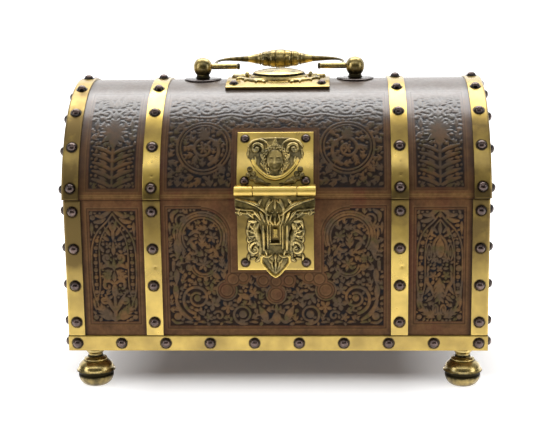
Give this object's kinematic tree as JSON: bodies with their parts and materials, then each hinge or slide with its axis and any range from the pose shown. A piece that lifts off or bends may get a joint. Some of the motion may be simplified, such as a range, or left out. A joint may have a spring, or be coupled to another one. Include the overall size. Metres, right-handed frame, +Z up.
{
  "type": "table casket",
  "caption": "Leather-covered table casket with a barrel-vaulted hinged lid, brass straps and studs, turned feet, swinging hasp and folding carrying handle.",
  "frame": {"origin": "on the table, under the middle of the casket", "axes": "+X to the right seen from the front, +Y towards the hinges at the back, +Z up"},
  "size_m": [0.2856, 0.1821, 0.2181],
  "materials": {
    "wood": "bare oak, planed",
    "embossed_leather": "dark brown embossed leather, worn gloss",
    "silk_lining": "dark red silk",
    "strap_brass": "rubbed brass, aged",
    "cast_brass": "cast brass with dark hollows",
    "dark_bronze": "dark bronzed heads"
  },
  "bodies": {
    "base": {"base_board_front": "wood", "base_board_back": "wood", "base_board_left": "wood", "base_board_right": "wood", "base_board_bottom": "wood", "base_leather_front": "embossed_leather", "base_leather_back": "embossed_leather", "base_leather_left": "embossed_leather", "base_leather_right": "embossed_leather", "base_lining": "silk_lining", "corner_strap_front_left": "strap_brass", "corner_strap_front_right": "strap_brass", "corner_strap_back_left": "strap_brass", "corner_strap_back_right": "strap_brass", "inner_strap_front_left": "strap_brass", "inner_strap_front_right": "strap_brass", "inner_strap_back_left": "strap_brass", "inner_strap_back_right": "strap_brass", "bottom_band_front": "strap_brass", "bottom_band_back": "strap_brass", "bottom_band_left": "strap_brass", "bottom_band_right": "strap_brass", "base_studs": "dark_bronze", "foot_front_left": "cast_brass", "foot_front_right": "cast_brass", "foot_back_left": "cast_brass", "foot_back_right": "cast_brass", "lock_plate": "strap_brass", "lock_plate_griffins": "cast_brass", "lock_plate_studs": "dark_bronze", "catch_stud": "strap_brass", "base_hinge_leaves": "strap_brass", "lid_hinge_pins": "strap_brass"},
    "lid": {"lid_vault_board": "wood", "lid_end_board_left": "wood", "lid_end_board_right": "wood", "lid_leather_vault": "embossed_leather", "lid_leather_end_left": "embossed_leather", "lid_leather_end_right": "embossed_leather", "lid_lining": "silk_lining", "lid_end_strap_left": "strap_brass", "lid_end_strap_right": "strap_brass", "lid_inner_strap_left": "strap_brass", "lid_inner_strap_right": "strap_brass", "lid_studs": "dark_bronze", "lid_hinge_leaves": "strap_brass", "hasp_plate": "strap_brass", "hasp_plate_mask": "cast_brass", "hasp_plate_studs": "dark_bronze", "hasp_pin": "strap_brass", "handle_plate": "strap_brass", "handle_plate_ornament": "cast_brass", "handle_plate_studs": "dark_bronze", "handle_washers": "dark_bronze", "handle_post_left": "cast_brass", "handle_post_right": "cast_brass"},
    "hasp": {"hasp": "cast_brass"},
    "handle": {"handle_bail": "cast_brass", "handle_grip": "cast_brass"}
  },
  "joints": [
    {"name": "lid_open", "type": "hinge", "parent": "base", "child": "lid", "pos_m": [0, 0.08794, 0.1298], "axis": [-1, 0, 0], "range_deg": [0, 100]},
    {"name": "hasp_swing", "type": "hinge", "parent": "lid", "child": "hasp", "pos_m": [0, -0.08793, 0.1362], "axis": [-1, 0, 0], "range_deg": [0, 160]},
    {"name": "handle_swing", "type": "hinge", "parent": "lid", "child": "handle", "pos_m": [0, 0, 0.2088], "axis": [1, 0, 0], "range_deg": [0, 170]}
  ]
}
